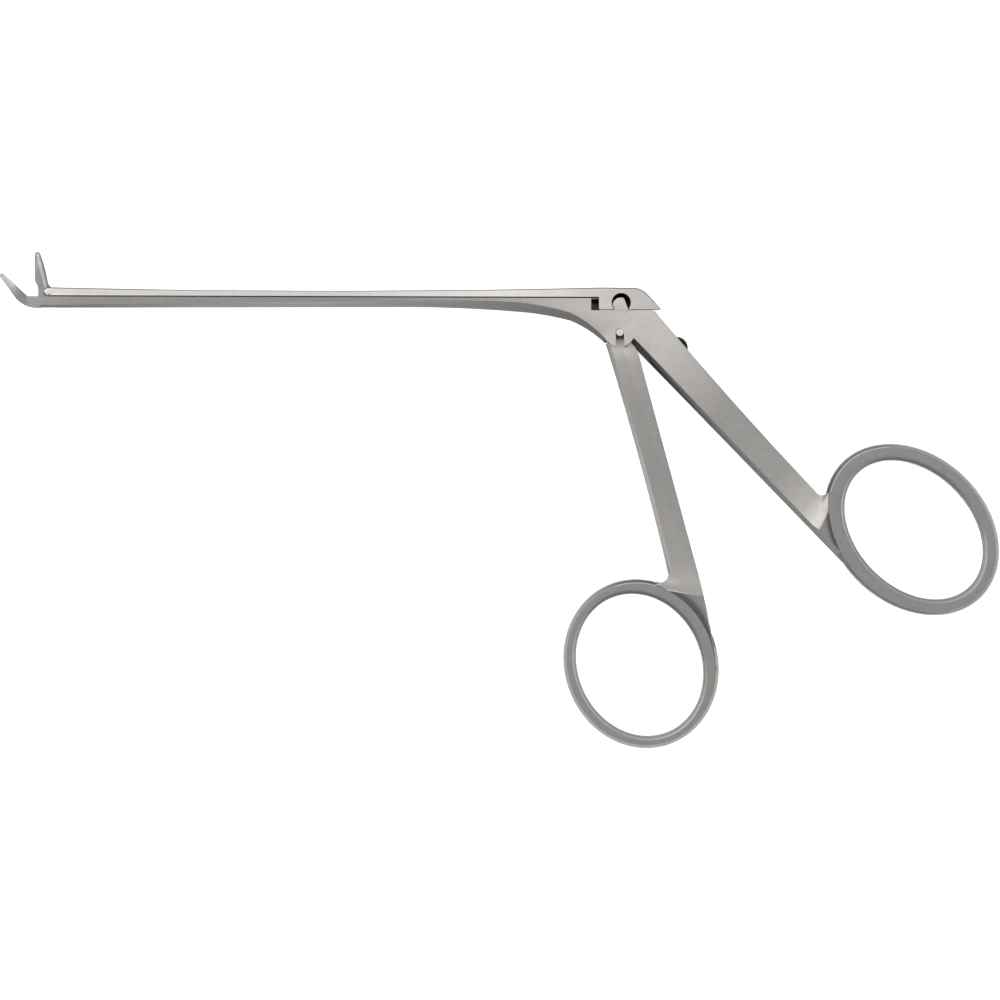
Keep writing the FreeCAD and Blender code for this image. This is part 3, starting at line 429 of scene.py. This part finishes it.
jawSideShadeSteel = makeSteel("jawSideShadeSteel", jawSideShade)
recessShadeSteel = makeSteel("recessShadeSteel", recessShade)
lowerJawSteel = makeSteel("lowerJawSteel", lowerJawShading)
upperJawSteel = makeSteel("upperJawSteel", upperJawShading)
pinSteel = makeSteel("pinSteel", pinShading)
screwBlack = makeSteel("screwBlack", screwFinish)
print("finishes ready")


# how steeply a face lies: the height of its normal, from 1 on a flat to 0 on a wall
lie = {
    "flat": 0.96,
    "turn": 0.75,
    "jawTop": 0.70,
    "rim": 0.60,
    "wall": 0.30,
    "sliderTop": 0.95,
    "sideways": 0.20,
}
# where the painted light and shade and the broken edges change, in mm: boxes are left, right, low,
# high and the height they end at
fixedZones = {
    "jawFrom": -116.9,
    "stepRecess": (-6.4, -3.8, 4.2, 6.9, 4.8),
    "leverSlot": (-3.1, 2.4, -3.1, 4.6, 4.9),
    "handleFrom": 2.0,
    "jawPinHole": (-115.7, -113.5, 5.1, 7.3),
}
sliderZones = {
    "window": (-2.6, 2.3, 4.4, 7.9, 4.99),
    "stepRecess": (-6.5, -2.4, 4.4, 6.8, 4.8),
    "barTo": -8.0,
    "topFrom": 7.9,
    "head": (-2.0, 3.0, 4.0, 8.0),
    "drivePinHole": (-114.8, -113.4, 7.5, 8.5),
}
jawZones = {"tangTo": 9.2}
# how far past its outline or ridge a place still counts as on the ring
ringZones = {
    "outline": 1.006,
    "shoulder": 2.0,
    "ridgeEnd": 1.6,
    "ridgeHalf": 0.3,
    "pastRidge": 0.02,
    "rimOnShoulder": 1.02,
}


def insideBox(place, left, right, low, high, under=9.0):
    # whether a place lies in a box seen from above and under a height, all in mm
    x, y, z = (c / mm for c in place)
    return left < x < right and low < y < high and z < under


def ringReach(place, ring):
    # how far out a place lies in a ring's outline, 1 at its edge, and its direction in degrees
    x, y = (place[i] / mm - ring["centre"][i] for i in (0, 1))
    tilt = math.radians(ring["tilt"])
    along = (x * math.cos(tilt) + y * math.sin(tilt)) / ring["half"][0]
    across = (y * math.cos(tilt) - x * math.sin(tilt)) / ring["half"][1]
    return math.hypot(along, across), math.degrees(math.atan2(y, x)) % 360


def pastRidge(place, ring):
    # how far, in mm, a place lies past the ridge in which the handle's flat ends
    x, y, angle = ring["ridge"]
    turn = math.radians(angle)
    return (place[0] / mm - x) * math.cos(turn) + (place[1] / mm - y) * math.sin(turn)


def onRing(place, ring):
    reach = ringReach(place, ring)[0]
    shoulder = reach < ringZones["shoulder"] and pastRidge(place, ring) > ringZones["pastRidge"]
    return reach < ringZones["outline"] or shoulder


def onRidge(place, ring):
    near = abs(pastRidge(place, ring)) < ringZones["ridgeHalf"]
    return near and 1.0 < ringReach(place, ring)[0] < ringZones["ridgeEnd"]


# picks the lit or shaded copy of the steel on a ring: painted highlights on its ridge and lit
# edges, painted shade on its unlit turns
def ringSteelAt(place, normal, ring, flatSteel, rimSteel, sideSteel):
    reach, angle = ringReach(place, ring)
    if onRidge(place, ring) and lie["rim"] < normal.z < 0.995:
        return edgeHighlightSteel
    if abs(normal.z) > lie["flat"] or abs(normal.z) < lie["wall"]:
        return flatSteel
    outward = sum(normal[i] * (place[i] / mm - ring["centre"][i]) for i in (0, 1)) > 0
    if outward and ring["shoulder"][0] < angle < ring["shoulder"][1]:
        return flatSteel if reach < ringZones["rimOnShoulder"] else sideSteel
    if abs(normal.z) > lie["turn"]:
        lit = outward and ring["crook"][0] < angle < ring["crook"][1]
        return edgeHighlightSteel if lit else turnShadeSteel
    if abs(normal.z) < lie["rim"]:
        return edgeHighlightSteel
    return rimSteel if outward else holeShadingSteel


# picks a copy of the steel for each face of the fixed shaft: painted shade in its recesses, on its
# under bevels and on the handle's inner bevel
def fixedSteelAt(place, normal):
    flat = abs(normal.z) > lie["flat"]
    if onRing(place, thumbRingAndShade) or onRidge(place, thumbRingAndShade):
        return ringSteelAt(place, normal, thumbRingAndShade, thumbSteel, thumbRimSteel, underShadeSteel)
    if place.x < fixedZones["jawFrom"] * mm:
        return lowerJawSteel if abs(normal.z) > lie["jawTop"] else jawSideShadeSteel
    # both boxes end below the body's upper face; the faces in them get painted shade
    if insideBox(place, *fixedZones["stepRecess"]) or insideBox(place, *fixedZones["leverSlot"]):
        return recessShadeSteel
    if flat:
        return bodySteel
    if place.x > fixedZones["handleFrom"] * mm and normal.x < -lie["sideways"]:
        return innerShadeSteel
    if normal.y < -lie["sideways"]:
        return underShadeSteel
    return bodySteel


# picks a copy of the steel for each face of the slider: painted shade in its window and step, on
# its bevels and in the gap above the body
def sliderSteelAt(place, normal):
    if insideBox(place, *sliderZones["window"]):
        return recessShadeSteel
    if insideBox(place, *sliderZones["stepRecess"]) and normal.z > -0.5:
        return recessShadeSteel
    if abs(normal.z) < lie["sliderTop"]:
        if normal.y > lie["sideways"]:
            return underShadeSteel
        if normal.y < -lie["sideways"] and place.x < sliderZones["barTo"] * mm:
            return gapShadeSteel
    return sliderSteel


# the jaw's steep sides get painted shade
def jawSteelAt(place, normal):
    return upperJawSteel if abs(normal.z) > lie["rim"] else jawSideShadeSteel


# picks a copy of the steel for each face of the lever: painted light and shade on its ring and
# front bevel
def leverSteelAt(place, normal):
    flat = abs(normal.z) > lie["flat"]
    if onRing(place, fingerRingAndShade) or onRidge(place, fingerRingAndShade):
        return ringSteelAt(place, normal, fingerRingAndShade, fingerSteel, fingerRimSteel, edgeHighlightSteel)
    if not flat and normal.x < -lie["sideways"] and normal.z > lie["sideways"]:
        return frontSteel
    return leverSteel


# how the edges are broken: widths in mm, angles in degrees
edges = {
    "widest": 0.20,
    "ring": 0.20,
    "ringReach": 1.01,
    "ridge": 0.12,
    "handle": 0.08,
    "barTop": 0.20,
    "barSeam": 0.14,
    "block": 0.06,
    "jaw": 0.10,
    "segments": 2,
    "sharpFrom": 32,
    "smoothTo": 40,
    "mergeWithin": 0.002,
    "flattenTo": 0.4,
}


def ringWidthAt(place, ring):
    if onRidge(place, ring):
        return edges["ridge"]
    return edges["ring"] if ringReach(place, ring)[0] < edges["ringReach"] else edges["handle"]


def fixedWidthAt(place):
    # the mouth of the jaw pin's hole stays sharp
    if insideBox(place, *fixedZones["jawPinHole"]):
        return 0.0
    return ringWidthAt(place, thumbRingAndShade)


def sliderWidthAt(place):
    if insideBox(place, *sliderZones["drivePinHole"]):
        return 0.0
    if place.y > sliderZones["topFrom"] * mm and not insideBox(place, *sliderZones["head"]):
        return edges["barTop"]
    return edges["barSeam"] if place.x < sliderZones["barTo"] * mm else edges["block"]


def leverWidthAt(place):
    return ringWidthAt(place, fingerRingAndShade)


def jawWidthAt(place):
    # the tang, with its slot for the drive pin, stays sharp
    return 0.0 if place.y < jawZones["tangTo"] * mm else edges["jaw"]


def dressNode(node, body, steelAt, widthAt):
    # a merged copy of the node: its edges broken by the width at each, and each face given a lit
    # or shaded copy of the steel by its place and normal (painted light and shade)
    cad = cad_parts[node]
    clearSelection()
    piece = cad.copy()
    piece.data = cad.data.copy()
    piece.name = node + "Finished"
    piece.parent = None
    for key in list(piece.keys()):
        del piece[key]
    bpy.context.scene.collection.objects.link(piece)
    makeActive(piece)
    bpy.ops.object.mode_set(mode="EDIT")
    bpy.ops.mesh.select_all(action="SELECT")
    bpy.ops.mesh.remove_doubles(threshold=edges["mergeWithin"] * mm)
    bpy.ops.mesh.dissolve_limited(angle_limit=math.radians(edges["flattenTo"]))
    bpy.ops.object.mode_set(mode="OBJECT")
    mesh = piece.data
    sharpFrom = math.radians(edges["sharpFrom"])
    weights = mesh.attributes.new("bevel_weight_edge", "FLOAT", "EDGE")
    facesOf = {}
    for face in mesh.polygons:
        for key in face.edge_keys:
            facesOf.setdefault(key, []).append(face)
    for edge in mesh.edges:
        faces = facesOf.get(edge.key, [])
        if len(faces) != 2 or faces[0].normal.angle(faces[1].normal, 0.0) < sharpFrom:
            continue
        # an inner corner stays as it is
        if faces[0].normal.dot(faces[1].center - faces[0].center) > 0:
            continue
        middle = (mesh.vertices[edge.vertices[0]].co + mesh.vertices[edge.vertices[1]].co) / 2
        weights.data[edge.index].value = widthAt(middle) / edges["widest"]
    bevel = piece.modifiers.new("brokenEdges", "BEVEL")
    bevel.width = edges["widest"] * mm
    bevel.segments = edges["segments"]
    bevel.limit_method = "WEIGHT"
    bevel.use_clamp_overlap = False
    bpy.ops.object.modifier_apply(modifier=bevel.name)
    bpy.ops.object.shade_smooth_by_angle(angle=math.radians(edges["smoothTo"]))
    piece.data.materials.clear()
    used = []
    for face in piece.data.polygons:
        steel = steelAt(face.center, face.normal)
        if steel not in used:
            used.append(steel)
            piece.data.materials.append(steel)
        face.material_index = used.index(steel)
    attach(piece, body)
    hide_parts(node)


dressNode("fixed_shaft", "frame", fixedSteelAt, fixedWidthAt)
dressNode("sliding_shaft", "slider", sliderSteelAt, sliderWidthAt)
dressNode("finger_lever", "lever", leverSteelAt, leverWidthAt)
dressNode("movable_jaw", "jaw", jawSteelAt, jawWidthAt)
for node, material in (("jaw_pivot_pin", pinSteel), ("jaw_drive_pin", pinSteel),
                       ("lever_pivot_pin", pinSteel), ("stop_screw", screwBlack)):
    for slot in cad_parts[node].material_slots:
        slot.material = material
print("pieces dressed")

# the photograph's frame: 0.2 mm to a pixel on the upper face, a slight roll, straight down
photoView = {
    "mmPerPixel": 0.2,
    "pivotPixel": (619.8, 332.3),
    "imageSize": 1000,
    "roll": 0.00314,
    "lens": 300.0,
    "sensor": 36.0,
    "upperFace": 3.0 * mm,
}


def addCamera():
    values = photoView
    half = values["imageSize"] / 2
    acrossPx = half - values["pivotPixel"][0]
    upPx = values["pivotPixel"][1] - half
    scale = values["mmPerPixel"] * mm
    x = scale * (acrossPx - values["roll"] * upPx)
    y = scale * (upPx + values["roll"] * acrossPx)
    data = bpy.data.cameras.new("photoCamera")
    data.lens = values["lens"]
    data.sensor_width = values["sensor"]
    camera = bpy.data.objects.new("photoCamera", data)
    bpy.context.scene.collection.objects.link(camera)
    reach = half * scale / (data.sensor_width / 2 / data.lens)
    camera.location = (x, y, values["upperFace"] + reach)
    camera.rotation_euler = (0, 0, math.atan(values["roll"]))
    data.clip_end = reach * 3
    bpy.context.scene.camera = camera


addCamera()

studio = {
    "floorTint": (0.92, 0.92, 0.92),
    "floorGlow": 0.75,
    "above": 0.95,
    "side": 0.75,
    "floorSide": 4.0,
    "horizon": 0.35,
    "overhead": 0.95,
    "keyPower": 0.5,
    "keySides": (0.7, 0.5),
    "keyPlace": (-0.35, 0.55, 0.8),
    "keyAim": (-0.02, -0.03, 0.0),
}


def addFloor():
    bpy.ops.mesh.primitive_plane_add(size=studio["floorSide"], location=(0, 0, 0))
    floor = bpy.context.object
    floor.name = "floor"
    material = bpy.data.materials.new("paleFloor")
    material.use_nodes = True
    nodes, links = material.node_tree.nodes, material.node_tree.links
    shader = nodes["Principled BSDF"]
    shader.inputs["Base Color"].default_value = (*studio["floorTint"], 1.0)
    shader.inputs["Roughness"].default_value = 0.9
    shader.inputs["Specular IOR Level"].default_value = 0.0
    glow = nodes.new("ShaderNodeEmission")
    glow.inputs["Color"].default_value = (1, 1, 1, 1)
    path = nodes.new("ShaderNodeLightPath")
    strength = nodes.new("ShaderNodeMath")
    strength.operation = "MULTIPLY"
    strength.inputs[1].default_value = studio["floorGlow"]
    links.new(path.outputs["Is Camera Ray"], strength.inputs[0])
    links.new(strength.outputs[0], glow.inputs["Strength"])
    add = nodes.new("ShaderNodeAddShader")
    links.new(shader.outputs[0], add.inputs[0])
    links.new(glow.outputs[0], add.inputs[1])
    links.new(add.outputs[0], nodes["Material Output"].inputs["Surface"])
    floor.data.materials.append(material)


def addStudioSky():
    # a soft overhead tent: bright above, darker towards the sides
    world = bpy.data.worlds.new("studio")
    bpy.context.scene.world = world
    world.use_nodes = True
    nodes, links = world.node_tree.nodes, world.node_tree.links
    place = nodes.new("ShaderNodeTexCoord")
    split = nodes.new("ShaderNodeSeparateXYZ")
    links.new(place.outputs["Generated"], split.inputs[0])
    ramp = nodes.new("ShaderNodeMapRange")
    ramp.interpolation_type = "SMOOTHSTEP"
    ramp.inputs["From Min"].default_value = studio["horizon"]
    ramp.inputs["From Max"].default_value = studio["overhead"]
    ramp.inputs["To Min"].default_value = studio["side"]
    ramp.inputs["To Max"].default_value = studio["above"]
    links.new(split.outputs["Z"], ramp.inputs["Value"])
    links.new(ramp.outputs[0], nodes["Background"].inputs["Strength"])
    nodes["Background"].inputs["Color"].default_value = (1, 1, 1, 1)


def addKeyLight():
    data = bpy.data.lights.new("keyPanel", "AREA")
    data.shape = "RECTANGLE"
    data.size, data.size_y = studio["keySides"]
    data.energy = studio["keyPower"]
    light = bpy.data.objects.new("keyPanel", data)
    bpy.context.scene.collection.objects.link(light)
    light.location = studio["keyPlace"]
    towards = Vector(studio["keyAim"]) - light.location
    light.rotation_euler = towards.to_track_quat("-Z", "Y").to_euler()


addFloor()
addStudioSky()
addKeyLight()
bpy.context.scene.view_settings.view_transform = "Standard"
print("studio ready")
